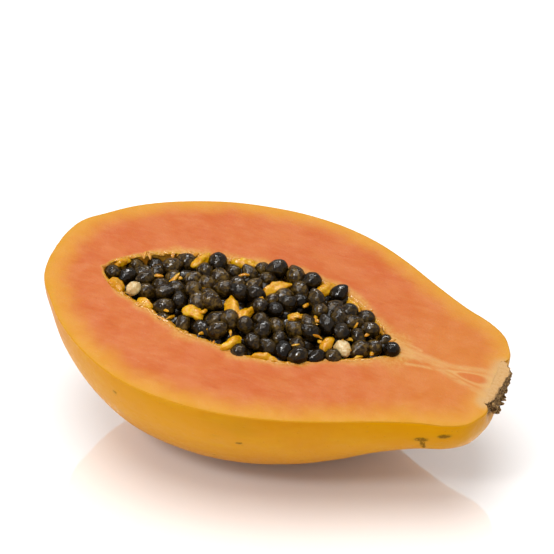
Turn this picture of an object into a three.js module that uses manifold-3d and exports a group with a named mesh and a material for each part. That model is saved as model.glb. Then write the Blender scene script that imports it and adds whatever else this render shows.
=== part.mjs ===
// Half of a ripe papaya, cut lengthwise through the stem and lying on its rounded back.
//
// Separate pieces: the half fruit (skin, flesh and the pulpy rim of the seed hollow are one grown
// body), the bunch of dark seeds that fills the hollow, the dry stub of the stem, the strands of
// yellow pulp that stand free among the seeds, and two pale seeds that never ripened.
//
// Fruit coordinates: s runs along the axis from the blossom end, w runs across the cut face with
// the far side positive, and h stands out of the cut face, so the flesh is below h = 0.
// Row frame: +Z up, +X along the fruit towards the stem, origin in the middle of the small flat
// spot that the fruit rests on. Millimetres and degrees throughout.

import * as THREE from "three";
import { mergeVertices } from "three/addons/utils/BufferGeometryUtils.js";
import Module from "manifold-3d";

const wasm = await Module();
wasm.setup();

// Driving dimensions
const FRUIT_LENGTH = 165;
const HALF_WIDTH = 53.5;
const TILT = 5.8; // the cut face leans this far towards -Y
const PITCH = 5.5; // the stem end hangs this far below the blossom end
const FLAT_SPOT_DEPTH = 1.1; // how far the round back is pressed flat where it rests
const GAP = 0.3; // clearance between pieces that touch

// Half outline of the fruit, as shares of its length and of its half width
const OUTLINE = [
  [0.006, 0],
  [0.0076, 0.138],
  [0.0224, 0.307],
  [0.058, 0.449],
  [0.115, 0.636],
  [0.2, 0.815],
  [0.303, 0.946],
  [0.424, 1],
  [0.533, 0.983],
  [0.63, 0.912],
  [0.715, 0.804],
  [0.794, 0.68],
  [0.873, 0.568],
  [0.933, 0.505],
  [0.972, 0.43],
  [0.993, 0.327],
  [1, 0.262],
  [0.996, 0.218],
].map(([along, out]) => new THREE.Vector2(along * FRUIT_LENGTH, out * HALF_WIDTH));

// The axis wanders a little across the cut face: [s, w]
const AXIS_DRIFT = [
  [0, 4.4],
  [18, 2.1],
  [45, 0.8],
  [105, 3.2],
  [146, 0.8],
  [165, -0.8],
];

// Five shallow lobes, strongest near the stem: [s, share of the radius]. Below 0 the fruit
// bulges between them instead.
const LOBES = 5;
const LOBE_TURN = -90;
const LOBE_DEPTH = [
  [0, -0.004],
  [70, -0.009],
  [100, -0.004],
  [120, 0.004],
  [145, 0.045],
  [165, 0.02],
];

// Seed hollow: its rim on the far and near side of the cut face, [s, w]
const HOLLOW_START = 20;
const HOLLOW_END = 129;
const FAR_RIM = [
  [20, 0.8],
  [24, 6.5],
  [33, 13.5],
  [44, 18.8],
  [57, 22],
  [72, 24],
  [86, 25],
  [98, 23.5],
  [108, 19.5],
  [117, 13],
  [124, 6.5],
  [129, 0.4],
];
const NEAR_RIM = [
  [20, 0.2],
  [24, -4.5],
  [32, -9.5],
  [44, -13.6],
  [57, -18.6],
  [72, -20.4],
  [86, -21.4],
  [97, -18.6],
  [107, -13],
  [117, -8.4],
  [124, -4.4],
  [129, -0.4],
];
const HOLLOW_DEPTH_SHARE = 0.92; // depth over half width

// Seeds
const SEED_HALF_LENGTH = 3.65;
const SEED_HALF_WIDTH = 3.05;
const SEED_PITCH = 6;
const SEED_JITTER = 0.85;
const SEED_INSET = 1.8;
const SEED_CROWN = 1.6; // the middle of the bunch stands this much over its edges
const SEED_LEVEL = [
  [20, -4.2],
  [38, -2.6],
  [58, -0.6],
  [110, -0.3],
  [122, -1.4],
  [129, -3],
];
const SEED_ROUGHNESS = 1.3;
const RIM_SEED_SPACING = 0.78; // least distance to the next seed, as a share of the pitch
const RIM_SEED_CLEARANCE = 0.8; // and to a strand's side
const CORE_BELOW_SEEDS = 0.9;

// Pulp strands, placed where the fruit has them. rooted: grows out of the rim and is one body with
// the flesh. s, w: middle of the strand. heading: its direction in the cut face, from +s to +w.
// length, width, thick: its size. lift: height of its middle over the cut face.
const STRANDS = [
  { s: 28.4, w: -6.6, heading: -38, length: 8.5, width: 4.6, thick: 3.6, lift: -0.6, rooted: true },
  { s: 40.6, w: -10.6, heading: -25, length: 7, width: 3.4, thick: 3, lift: -0.9, rooted: true },
  { s: 25.5, w: 6.4, heading: 55, length: 7, width: 3, thick: 3, lift: -1.2, rooted: true },
  { s: 51, w: 17.2, heading: 72, length: 9.5, width: 4, thick: 3.2, lift: 0.1, rooted: true },
  { s: 65.5, w: 21.4, heading: 12, length: 10.5, width: 4, thick: 3.4, lift: 0, rooted: true },
  { s: 95.6, w: 19.6, heading: 66, length: 12, width: 4.2, thick: 3.2, lift: -0.2, rooted: true },
  { s: 107.6, w: 16.2, heading: 140, length: 7, width: 3, thick: 2.8, lift: -0.6, rooted: true },
  { s: 75.6, w: -18, heading: 68, length: 9.5, width: 3.6, thick: 3, lift: 0.5, rooted: true },
  { s: 88, w: -19.4, heading: 8, length: 9, width: 3, thick: 2.6, lift: -0.4, rooted: true },
  { s: 69.6, w: -2.4, heading: 118, length: 10.5, width: 4.2, thick: 3.6, lift: 1, rooted: false },
  { s: 75.2, w: -4.4, heading: 74, length: 9, width: 3.6, thick: 3.4, lift: 0.8, rooted: false },
  { s: 58.4, w: -10.2, heading: -18, length: 7.5, width: 4.4, thick: 3.4, lift: 0.2, rooted: false },
  { s: 80.6, w: 12.4, heading: 48, length: 11, width: 3.8, thick: 3.4, lift: 1, rooted: false },
  { s: 91.8, w: 2.2, heading: 30, length: 6.5, width: 2.8, thick: 2.8, lift: 0, rooted: false },
  { s: 105.6, w: -6.2, heading: 80, length: 7, width: 3.4, thick: 3, lift: 0, rooted: false },
];
const STRAND_CLEARANCE = 1.7; // seed middles keep this far from a strand's side

// Seeds that stayed pale: like strands, but egg-shaped and loose
const PALE_SEEDS = [
  { s: 34.8, w: -6.2, heading: 75, length: 6.2, width: 4.6, thick: 4.4, lift: 0.6 },
  { s: 111.2, w: -6, heading: -40, length: 6.8, width: 5.6, thick: 5.2, lift: 0.4 },
];

// Ragged pulp fringe round the rim
const FRINGE_STEP = 6.4;
const FRINGE_SIZE = 1.7;

// Stem stub
const SOCKET_FLOOR = 0.988 * FRUIT_LENGTH;
const SOCKET_RADIUS = 10.9;
const STUB_RADIUS = 9.6;
const STUB_END = FRUIT_LENGTH + 2.2;
const STUB_MIDDLE = -1.2; // w of its middle
const STUB_SCALES = 13;

// Mesh fineness
const OUTLINE_STEPS = 40;
const ROUND_STEPS = 40;
const HOLLOW_STEPS = 24;
const HOLLOW_ROUND_STEPS = 12;
const CORE_STEPS = 6;

// Small helpers

// The same run of numbers from 0 to 1 for the same seed
function seededRandom(seed) {
  let state = seed >>> 0;
  return () => {
    state = (state + 0x6d2b79f5) >>> 0;
    let t = state;
    t = Math.imul(t ^ (t >>> 15), t | 1);
    t ^= t + Math.imul(t ^ (t >>> 7), t | 61);
    return ((t ^ (t >>> 14)) >>> 0) / 4294967296;
  };
}

// Smooth curve through [x, y] points, read at x
function through(points, x) {
  const last = points.length - 1;
  let i = 0;
  while (i < last - 1 && x > points[i + 1][0]) i += 1;
  const slope = (a, b) => (points[b][1] - points[a][1]) / (points[b][0] - points[a][0]);
  const [x0, y0] = points[i];
  const [x1, y1] = points[i + 1];
  const m0 = slope(Math.max(i - 1, 0), i + 1);
  const m1 = slope(i, Math.min(i + 2, last));
  const span = x1 - x0;
  const t = THREE.MathUtils.clamp((x - x0) / span, 0, 1);
  const t2 = t * t;
  const t3 = t2 * t;
  return (
    (2 * t3 - 3 * t2 + 1) * y0 + (t3 - 2 * t2 + t) * span * m0 +
    (3 * t2 - 2 * t3) * y1 + (t3 - t2) * span * m1
  );
}

const radians = THREE.MathUtils.degToRad;

// A closed solid from rings of equally many points, with a point beyond each end ring
function ringSolid(rings, startPoint, endPoint) {
  const count = rings[0].length;
  const positions = [];
  for (const p of [...rings.flat(), startPoint, endPoint]) positions.push(p.x, p.y, p.z);
  const start = rings.length * count;
  const end = start + 1;
  const faces = [];
  for (let k = 0; k < count; k += 1) {
    const next = (k + 1) % count;
    faces.push(start, next, k);
    const lastRing = (rings.length - 1) * count;
    faces.push(end, lastRing + k, lastRing + next);
    for (let i = 0; i < rings.length - 1; i += 1) {
      const a = i * count + k;
      const b = i * count + next;
      faces.push(a, b, b + count, a, b + count, a + count);
    }
  }
  const geometry = new THREE.BufferGeometry();
  geometry.setAttribute("position", new THREE.Float32BufferAttribute(positions, 3));
  geometry.setIndex(faces);
  return geometry;
}

// three.js geometry to a solid that can be joined and cut, and back
function solidOf(geometry) {
  const bare = geometry.clone();
  for (const name of ["normal", "uv"]) bare.deleteAttribute(name);
  const merged = mergeVertices(bare, 1e-4);
  const vertProperties = merged.attributes.position.array;
  const triVerts = new Uint32Array(merged.index.array);
  return new wasm.Manifold(new wasm.Mesh({ numProp: 3, vertProperties, triVerts }));
}

function geometryOf(solid) {
  const mesh = solid.getMesh();
  const geometry = new THREE.BufferGeometry();
  geometry.setAttribute("position", new THREE.Float32BufferAttribute(mesh.vertProperties, 3));
  geometry.setIndex(Array.from(mesh.triVerts));
  return geometry;
}

function joined(solids) {
  return solids.reduce((all, next) => all.add(next));
}

// The largest body of a solid, with loose scraps and sealed pockets dropped. Corners that nearly
// touch can close up once they are rounded, so it is read back until one body is left.
function largestBody(solid) {
  let bodies = [solid];
  for (let pass = 0; pass < 6; pass += 1) {
    const largest = bodies.reduce((big, body) => (body.volume() > big.volume() ? body : big));
    bodies = solidOf(geometryOf(largest)).decompose();
    if (bodies.length === 1) break;
  }
  return bodies[0];
}

// Fruit coordinates to the row frame

const lean = new THREE.Matrix4()
  .makeRotationY(radians(PITCH))
  .multiply(new THREE.Matrix4().makeRotationX(radians(TILT)));

function skinPoint(s, radius, angle) {
  const drift = through(AXIS_DRIFT, s);
  const wave = Math.cos(LOBES * (angle - radians(LOBE_TURN)));
  const out = radius * (1 + through(LOBE_DEPTH, s) * wave);
  return new THREE.Vector3(s, drift + out * Math.cos(angle), out * Math.sin(angle));
}

function outlineSamples(steps) {
  return new THREE.SplineCurve(OUTLINE).getPoints(steps);
}

// The pose that puts the middle of the flat spot at the origin
function restPose() {
  let lowest = new THREE.Vector3(0, 0, Infinity);
  for (const { x: s, y: radius } of outlineSamples(400)) {
    for (let degrees = -180; degrees <= 0; degrees += 0.5) {
      const p = skinPoint(s, radius, radians(degrees)).applyMatrix4(lean);
      if (p.z < lowest.z) lowest = p;
    }
  }
  return new THREE.Matrix4()
    .makeTranslation(-lowest.x, -lowest.y, -lowest.z - FLAT_SPOT_DEPTH)
    .multiply(lean);
}

const pose = restPose();

function posed(geometry) {
  return geometry.applyMatrix4(pose);
}

function box(width, depth, height, x, y, z) {
  return new THREE.BoxGeometry(width, depth, height).translate(x, y, z);
}

// Round forms that the blobs are stretched from
const crumb = () => new THREE.IcosahedronGeometry(1, 0);
const pip = () => new THREE.OctahedronGeometry(1, 1);
const tongue = () => new THREE.IcosahedronGeometry(1, 1);

// An egg-shaped blob; grow makes it larger all round
function blob({ s, w, heading, length, width, thick, lift, dip = 0 }, form, grow = 0) {
  const geometry = form();
  geometry.scale(length / 2 + grow, width / 2 + grow, thick / 2 + grow);
  geometry.rotateY(radians(dip)).rotateZ(radians(heading)).translate(s, w, lift);
  return solidOf(posed(geometry));
}

// The half fruit

function fruitBody() {
  const samples = outlineSamples(OUTLINE_STEPS);
  const rings = samples.slice(1).map(({ x, y }) => ringOfSkin(x, y));
  rings.push(ringOfSkin(SOCKET_FLOOR, SOCKET_RADIUS));
  const start = new THREE.Vector3(samples[0].x, through(AXIS_DRIFT, samples[0].x), 0);
  const end = new THREE.Vector3(SOCKET_FLOOR, through(AXIS_DRIFT, SOCKET_FLOOR), 0);
  return solidOf(posed(ringSolid(rings, start, end)));
}

function ringOfSkin(s, radius) {
  const turn = (2 * Math.PI) / ROUND_STEPS;
  return Array.from({ length: ROUND_STEPS }, (_, k) => skinPoint(s, radius, k * turn));
}

// The hollow as a solid, shrunk by inset all round, with straight walls up to the height top
function hollowSolid(inset, top) {
  const rings = [];
  for (let i = 0; i <= HOLLOW_STEPS; i += 1) {
    const share = (1 - Math.cos((i / HOLLOW_STEPS) * Math.PI)) / 2;
    const s = HOLLOW_START + inset + share * (HOLLOW_END - HOLLOW_START - 2 * inset);
    rings.push(ringOfHollow(s, inset, top));
  }
  const startPoint = centreOf(rings[0]);
  const endPoint = centreOf(rings[rings.length - 1]);
  return solidOf(posed(ringSolid(rings, startPoint, endPoint)));
}

function ringOfHollow(s, inset, top) {
  const far = through(FAR_RIM, s);
  const near = through(NEAR_RIM, s);
  const middle = (far + near) / 2;
  const half = Math.max((far - near) / 2 - inset, 0.15);
  const depth = half * HOLLOW_DEPTH_SHARE;
  const ring = [new THREE.Vector3(s, middle + half, top), new THREE.Vector3(s, middle - half, top)];
  for (let k = 0; k <= HOLLOW_ROUND_STEPS; k += 1) {
    const angle = (k / HOLLOW_ROUND_STEPS - 1) * Math.PI;
    ring.push(new THREE.Vector3(s, middle + half * Math.cos(angle), depth * Math.sin(angle)));
  }
  return ring;
}

function centreOf(ring) {
  const sum = ring.reduce((total, p) => total.add(p), new THREE.Vector3());
  return sum.divideScalar(ring.length);
}

// The fringe: small blobs sunk in the rim, on the far side and then on the near side
function fringeBlobs(grow = 0) {
  const random = seededRandom(71);
  const solids = [];
  for (const rim of [FAR_RIM, NEAR_RIM]) {
    for (let s = HOLLOW_START + 5; s < HOLLOW_END - 4; s += FRINGE_STEP) {
      const at = s + (random() - 0.5) * 3;
      const size = FRINGE_SIZE * (0.8 + 0.7 * random());
      const place = {
        s: at,
        w: through(rim, at),
        heading: 90 * random() - 45,
        length: size * 2.6,
        width: size * 1.5,
        thick: size * 1.3,
        lift: -0.5 + 0.5 * random(),
      };
      solids.push(blob(place, crumb, grow));
    }
  }
  return solids;
}

const rootedStrands = STRANDS.filter((strand) => strand.rooted);
const freeStrands = STRANDS.filter((strand) => !strand.rooted);

function fruitHalf() {
  const aboveCut = solidOf(posed(box(400, 300, 100, FRUIT_LENGTH / 2, 0, 50)));
  const belowFloor = solidOf(box(400, 300, 40, 0, 0, -20));
  const shell = fruitBody().subtract(aboveCut).subtract(belowFloor).subtract(hollowSolid(0, 2));
  const growths = [...fringeBlobs(), ...rootedStrands.map((strand) => blob(strand, tongue))];
  return largestBody(joined([shell, ...growths]));
}

// The seeds

// Distance in the cut face from (s, w) to a strand's middle line
function distanceToStrand(s, w, strand) {
  const reach = Math.max(strand.length - strand.width, 0) / 2;
  const towards = new THREE.Vector2(1, 0).rotateAround(new THREE.Vector2(), radians(strand.heading));
  const offset = new THREE.Vector2(s - strand.s, w - strand.w);
  const nearest = THREE.MathUtils.clamp(offset.dot(towards), -reach, reach);
  return offset.distanceTo(towards.multiplyScalar(nearest));
}

function seedPlaces() {
  const random = seededRandom(20);
  const places = [];
  const rowStep = SEED_PITCH * Math.sin(Math.PI / 3);
  const neighbours = [...STRANDS, ...PALE_SEEDS];
  for (let row = 0; row < 12; row += 1) {
    for (let column = 0; column < 21; column += 1) {
      const draws = Array.from({ length: 7 }, () => random());
      const offset = row % 2 ? SEED_PITCH / 2 : 0;
      const s = HOLLOW_START + 1 + offset + column * SEED_PITCH + (draws[0] - 0.5) * 2 * SEED_JITTER;
      const w = -25 + row * rowStep + (draws[1] - 0.5) * 2 * SEED_JITTER;
      const far = through(FAR_RIM, s) - SEED_INSET;
      const near = through(NEAR_RIM, s) + SEED_INSET;
      if (s > HOLLOW_END - 2 || s < HOLLOW_START + 2 || w > far || w < near) continue;
      const blocked = neighbours.some(
        (strand) => distanceToStrand(s, w, strand) < strand.width / 2 + STRAND_CLEARANCE,
      );
      if (blocked) continue;
      const across = (w - (far + near) / 2) / ((far - near) / 2);
      const crown = SEED_CROWN * (1 - across * across);
      const lift = through(SEED_LEVEL, s) + crown + (draws[2] - 0.5) * 2 * SEED_ROUGHNESS;
      const size = 0.9 + 0.2 * draws[3];
      places.push({
        s,
        w,
        lift,
        heading: 360 * draws[4],
        dip: 80 * (draws[5] - 0.5),
        length: 2 * SEED_HALF_LENGTH * size,
        width: 2 * SEED_HALF_WIDTH * size,
        thick: 2 * SEED_HALF_WIDTH * size * (0.92 + 0.16 * draws[6]),
      });
    }
  }
  return places;
}

// Seeds tucked in under the rim, where the honeycomb leaves room
function rimSeedPlaces(placed) {
  const random = seededRandom(61);
  const neighbours = [...STRANDS, ...PALE_SEEDS];
  const places = [];
  for (const [rim, inward] of [[FAR_RIM, -1], [NEAR_RIM, 1]]) {
    let s = HOLLOW_START + 4;
    while (s < HOLLOW_END - 3) {
      s += 1.1 + random();
      const draws = Array.from({ length: 6 }, () => random());
      const w = through(rim, s) + inward * (1.4 + 1.2 * draws[0]);
      const crowded = [...placed, ...places].some(
        (seed) => Math.hypot(s - seed.s, w - seed.w) < RIM_SEED_SPACING * SEED_PITCH,
      );
      const blocked = neighbours.some(
        (strand) => distanceToStrand(s, w, strand) < strand.width / 2 + RIM_SEED_CLEARANCE,
      );
      if (crowded || blocked) continue;
      const size = 0.82 + 0.24 * draws[1];
      places.push({
        s,
        w,
        lift: through(SEED_LEVEL, s) - 1.6 + 1.8 * draws[2],
        heading: 360 * draws[3],
        dip: 80 * (draws[4] - 0.5),
        length: 2 * SEED_HALF_LENGTH * size,
        width: 2 * SEED_HALF_WIDTH * size,
        thick: 2 * SEED_HALF_WIDTH * size * (0.92 + 0.16 * draws[5]),
      });
    }
  }
  return places;
}

// The smaller core that the seeds stand out of
function seedCore(inside) {
  const rings = [];
  for (let i = 0; i <= CORE_STEPS; i += 1) {
    const s = HOLLOW_START + (i / CORE_STEPS) * (HOLLOW_END - HOLLOW_START);
    const top = through(SEED_LEVEL, s) - CORE_BELOW_SEEDS;
    rings.push([
      new THREE.Vector3(s, -40, -40),
      new THREE.Vector3(s, 40, -40),
      new THREE.Vector3(s, 40, top - SEED_CROWN),
      new THREE.Vector3(s, 0, top + SEED_CROWN),
      new THREE.Vector3(s, -40, top - SEED_CROWN),
    ]);
  }
  const slab = ringSolid(rings, centreOf(rings[0]), centreOf(rings[rings.length - 1]));
  return inside.intersect(solidOf(posed(slab)));
}

function seedMass() {
  const inside = hollowSolid(GAP + 0.1, 12);
  const places = seedPlaces();
  const seeds = [...places, ...rimSeedPlaces(places)].map((place) => blob(place, pip));
  const bunch = joined([seedCore(inside), ...seeds]).intersect(inside);
  const pockets = [
    ...fringeBlobs(GAP),
    ...STRANDS.map((strand) => blob(strand, tongue, GAP)),
    ...PALE_SEEDS.map((seed) => blob(seed, tongue, GAP)),
  ];
  return largestBody(bunch.subtract(joined(pockets)));
}

// The stem stub: a rough corky half disc in the shallow socket at the stem end

function stemStub() {
  const base = SOCKET_FLOOR + GAP;
  const rings = [];
  const profile = [
    [base, STUB_RADIUS * 0.98],
    [base + 1.2, STUB_RADIUS],
    [STUB_END - 1.4, STUB_RADIUS * 0.97],
    [STUB_END - 0.4, STUB_RADIUS * 0.8],
    [STUB_END - 0.9, STUB_RADIUS * 0.45],
  ];
  const random = seededRandom(5);
  const ragged = Array.from({ length: 22 }, () => 0.93 + 0.1 * random());
  for (const [s, radius] of profile) {
    rings.push(
      ragged.map((share, k) => {
        const angle = (k / ragged.length) * 2 * Math.PI;
        const out = radius * share;
        return new THREE.Vector3(s, STUB_MIDDLE + out * Math.cos(angle), out * Math.sin(angle));
      }),
    );
  }
  const start = new THREE.Vector3(base, STUB_MIDDLE, 0);
  const end = new THREE.Vector3(STUB_END - 1.1, STUB_MIDDLE, 0);
  const disc = solidOf(posed(ringSolid(rings, start, end)));
  const scales = [];
  for (let k = 0; k < STUB_SCALES; k += 1) {
    const angle = -((k + 0.5) / STUB_SCALES) * Math.PI;
    const out = STUB_RADIUS * (0.72 + 0.2 * random());
    const size = 1.5 + random();
    scales.push(
      blob(
        {
          s: STUB_END - 0.8 - 0.5 * random(),
          w: STUB_MIDDLE + out * Math.cos(angle),
          heading: 60 * random() - 30,
          length: size * 1.3,
          width: size * 1.7,
          thick: size * 1.4,
          lift: out * Math.sin(angle),
        },
        crumb,
      ),
    );
  }
  const aboveCut = solidOf(posed(box(60, 60, 30, FRUIT_LENGTH, 0, 15)));
  return largestBody(joined([disc, ...scales]).subtract(aboveCut));
}

// Assembly

const finishes = {
  fruit: new THREE.MeshStandardMaterial({ color: 0xe08a3a, roughness: 0.45, metalness: 0 }),
  seeds: new THREE.MeshStandardMaterial({ color: 0x2a2119, roughness: 0.3, metalness: 0 }),
  pulp: new THREE.MeshStandardMaterial({ color: 0xd08a12, roughness: 0.35, metalness: 0 }),
  paleSeed: new THREE.MeshStandardMaterial({ color: 0xd9b884, roughness: 0.4, metalness: 0 }),
  stem: new THREE.MeshStandardMaterial({ color: 0x8a5f30, roughness: 0.9, metalness: 0 }),
};

const papaya = new THREE.Group();

function place(name, solid, material) {
  const mesh = new THREE.Mesh(geometryOf(solid), material);
  mesh.name = name;
  papaya.add(mesh);
}

place("fruit_half", fruitHalf(), finishes.fruit);
place("seed_mass", seedMass(), finishes.seeds);
place("stem_stub", stemStub(), finishes.stem);
freeStrands.forEach((strand, k) => {
  place(`pulp_strand_${k + 1}`, blob(strand, tongue), finishes.pulp);
});
PALE_SEEDS.forEach((seed, k) => {
  place(`pale_seed_${k + 1}`, blob(seed, tongue), finishes.paleSeed);
});

export default papaya;
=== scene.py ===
import math

import bmesh
import bpy
import numpy as np
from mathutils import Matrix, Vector, noise


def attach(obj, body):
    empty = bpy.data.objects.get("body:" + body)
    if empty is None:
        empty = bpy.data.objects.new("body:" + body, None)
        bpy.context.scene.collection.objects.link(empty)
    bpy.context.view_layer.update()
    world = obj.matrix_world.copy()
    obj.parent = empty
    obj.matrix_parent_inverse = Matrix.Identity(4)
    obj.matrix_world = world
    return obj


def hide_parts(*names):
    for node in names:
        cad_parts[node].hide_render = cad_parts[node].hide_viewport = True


# Half a ripe papaya lying on its rounded back, with the cut face and its seeds upwards.
#
# Fruit coordinates are in millimetres: s runs along the axis from the blossom end, w runs across
# the cut face with the far side positive, and h stands out of the cut face. place() turns them
# into the row frame, in metres.

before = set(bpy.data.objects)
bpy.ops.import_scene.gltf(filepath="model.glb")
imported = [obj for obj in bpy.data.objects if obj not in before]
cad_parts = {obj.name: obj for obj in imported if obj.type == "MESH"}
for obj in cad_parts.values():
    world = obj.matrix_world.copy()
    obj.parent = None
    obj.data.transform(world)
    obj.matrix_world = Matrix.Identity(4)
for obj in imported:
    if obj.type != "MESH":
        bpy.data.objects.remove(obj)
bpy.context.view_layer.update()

# Driving dimensions, the same as the solids'
FRUIT_LENGTH = 165
HALF_WIDTH = 53.5
TILT = 5.8
PITCH = 5.5
FLAT_SPOT_DEPTH = 1.1
OUTLINE = np.array([
    (0.006, 0), (0.0076, 0.138), (0.0224, 0.307), (0.058, 0.449), (0.115, 0.636), (0.2, 0.815),
    (0.303, 0.946), (0.424, 1), (0.533, 0.983), (0.63, 0.912), (0.715, 0.804), (0.794, 0.68),
    (0.873, 0.568), (0.933, 0.505), (0.972, 0.43), (0.993, 0.327), (1, 0.262), (0.996, 0.218),
]) * (FRUIT_LENGTH, HALF_WIDTH)
AXIS_DRIFT = [(0, 4.4), (18, 2.1), (45, 0.8), (105, 3.2), (146, 0.8), (165, -0.8)]
LOBES = 5
LOBE_TURN = -90
LOBE_DEPTH = [(0, -0.004), (70, -0.009), (100, -0.004), (120, 0.004), (145, 0.045), (165, 0.02)]

# The seed hollow: its rim on the far and near side of the cut face, (s, w)
HOLLOW_START = 20
HOLLOW_END = 129
FAR_RIM = [
    (20, 0.8), (24, 6.5), (33, 13.5), (44, 18.8), (57, 22), (72, 24), (86, 25), (98, 23.5),
    (108, 19.5), (117, 13), (124, 6.5), (129, 0.4),
]
NEAR_RIM = [
    (20, 0.2), (24, -4.5), (32, -9.5), (44, -13.6), (57, -18.6), (72, -20.4), (86, -21.4),
    (97, -18.6), (107, -13), (117, -8.4), (124, -4.4), (129, -0.4),
]
HOLLOW_DEPTH_SHARE = 0.92
RIM_WOBBLE = 0.8
# Heights of the last points of the cut face, where it rounds into the hollow
RIM_DROP = (-0.02, -0.08, -0.25, -0.6)
# How fast the pale band round the hollow fades: (s, share)
PALE_RIM = [(20, 3), (36, 1), (108, 1), (122, 0.7), (130, 0.38), (140, 0.42)]
# How far the hollow's colours count down its wall
WALL_REACH = 20
# The yellow under the skin: how far in it reaches, less on the far side and more at the tip
RIND_DEPTH = 6.8
RIND_LESS_FAR = 0.8
RIND_MORE_AT_TIP = 3
# Rounding of the edge between the skin and the cut face
EDGE_ROUNDING = 0.35

# Seeds
SEED_HALF_LENGTH = 3.65
SEED_HALF_WIDTH = 3.05
SEED_PITCH = 6
SEED_JITTER = 0.85
SEED_INSET = 1.8
SEED_CROWN = 1.6
SEED_LEVEL = [(20, -4.2), (38, -2.6), (58, -0.6), (110, -0.3), (122, -1.4), (129, -3)]
SEED_ROUGHNESS = 1.3
SEED_DIP = 80
SEED_ROWS = 12
SEED_COLUMNS = 21
FIRST_SEED_ROW = -25
RIM_SEED_SPACING = 0.78
RIM_SEED_CLEARANCE = 0.8
# The layer underneath, and the dark bed below it; both keep to the darker seed tones, painted shade
# among the seeds on top
LOWER_SEEDS = -3.9
LOWER_SEED_INSET = 2.6
LOWER_SEED_SHADE_TONE = 0.2
BED_BELOW_SEEDS = 5.2
BED_LUMPS = 0.9

# Pulp strands and pale seeds: middle, direction in the cut face, size and height, as (s, w,
# heading, length, width, thick, lift), and for a strand whether it grows out of the rim
STRANDS = [
    (28.4, -6.6, -38, 8.5, 4.6, 3.6, -0.6, True),
    (40.6, -10.6, -25, 7, 3.4, 3, -0.9, True),
    (25.5, 6.4, 55, 7, 3, 3, -1.2, True),
    (51, 17.2, 72, 9.5, 4, 3.2, 0.1, True),
    (65.5, 21.4, 12, 10.5, 4, 3.4, 0, True),
    (95.6, 19.6, 66, 12, 4.2, 3.2, -0.2, True),
    (107.6, 16.2, 140, 7, 3, 2.8, -0.6, True),
    (75.6, -18, 68, 9.5, 3.6, 3, 0.5, True),
    (88, -19.4, 8, 9, 3, 2.6, -0.4, True),
    (69.6, -2.4, 118, 10.5, 4.2, 3.6, 1, False),
    (75.2, -4.4, 74, 9, 3.6, 3.4, 0.8, False),
    (58.4, -10.2, -18, 7.5, 4.4, 3.4, 0.2, False),
    (80.6, 12.4, 48, 11, 3.8, 3.4, 1, False),
    (91.8, 2.2, 30, 6.5, 2.8, 2.8, 0, False),
    (105.6, -6.2, 80, 7, 3.4, 3, 0, False),
]
PALE_SEEDS = [
    (34.8, -6.2, 75, 6.2, 4.6, 4.4, 0.6),
    (111.2, -6, -40, 6.8, 5.6, 5.2, 0.4),
]
STRAND_CLEARANCE = 1.7
STRAND_LONGER = 1.08
STRAND_WIDER = 1.15
STRAND_RISE = 0.6
SHREDS = 46

# The torn skin along the rim: how far its root lies outside the rim, its mean, least and
# greatest reach over the seeds, and the height of its upper side
MEMBRANE_ROOT = 0.9
MEMBRANE_REACH = 1.7
MEMBRANE_LEAST = 0.15
MEMBRANE_MOST = 3.4
MEMBRANE_TOP = 0.1

# Stem stub
SOCKET_FLOOR = 0.988 * FRUIT_LENGTH
SOCKET_RADIUS = 10.9
STUB_RADIUS = 9.6
STUB_END = FRUIT_LENGTH + 2.2
STUB_DEPTH = STUB_END - SOCKET_FLOOR
STUB_MIDDLE = -1.2
STUB_CHIPS = 34
# Slant of its worn outer face, what it fills of the socket's far side, and slant of its crust
STUB_WEAR = 0.12
SOCKET_FILL = 1.4
CRUST_SLANT = 0.14
GAP = 0.3

# Pale vein bundles from the tip of the hollow to the stem, (s, w) points, and the darker eye
# between them: middle, half length and half width
VEINS = [
    ([(124, 6.5), (128.5, 3.8), (132.3, 2.6), (139.7, 1.9), (147.3, 0.9), (154, 2.4),
      (163, 4.3)], 1),
    ([(127, -1.5), (134, 0.2), (141, -0.8), (148.4, -3.3), (156.4, -6.2), (163, -8)], 0.9),
    ([(131, 1.2), (138, 0.6), (146, -0.8), (150, -1.6)], 0.6),
    ([(133, -3.9), (139, -2.9), (145, -2.2)], 0.5),
    ([(126, 5), (130, 5.4), (136, 4.2)], 0.5),
]
EYE = (155.8, -1.4, 7, 2.9)

# Scars on the skin: s, angle round the fruit in degrees, half length along s, half width round
SCARS = [
    (147, -166.5, 2.1, 0.9), (147.5, -161.5, 0.7, 2.6), (147.8, -156.5, 0.6, 1.6),
    (154.2, -170.5, 1.9, 0.8), (45, -170, 0.8, 0.7), (89.7, -163.5, 1, 0.6),
    (81.9, -165.5, 2.4, 0.5), (68.8, -146, 2.2, 0.5), (74.2, -144.5, 1.6, 0.5),
    (79.9, -146.2, 2, 0.5), (60, -40, 2, 0.8), (96, -62, 1.2, 1), (118, -25, 1.8, 0.7),
    (35, -95, 1, 1.2), (128, -100, 1.6, 0.7), (70, -112, 0.9, 0.9),
]

# The light that falls on the cut face; finish colours are given as they look in it
LIGHT_LEVEL = 1.93

# The two finishes of the half fruit
SKIN_COAT = 0
FLESH_COAT = 1

# Mesh fineness; the balls that seeds and strands are shaped from have (rings, segments)
PROFILE_STEPS = 260
ROUND_STEPS = 120
CUT_STEPS = 56
WALL_STEPS = 14
MEMBRANE_STEP = 0.3
SEED_BALL = (14, 20)
LOWER_SEED_BALL = (9, 14)
PALE_SEED_BALL = (26, 28)
ROOTED_STRAND_BALL = (26, 24)
LOOSE_STRAND_BALL = (34, 30)
CRUMB_BALL = (12, 10)
CHIP_BALL = (10, 10)

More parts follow.
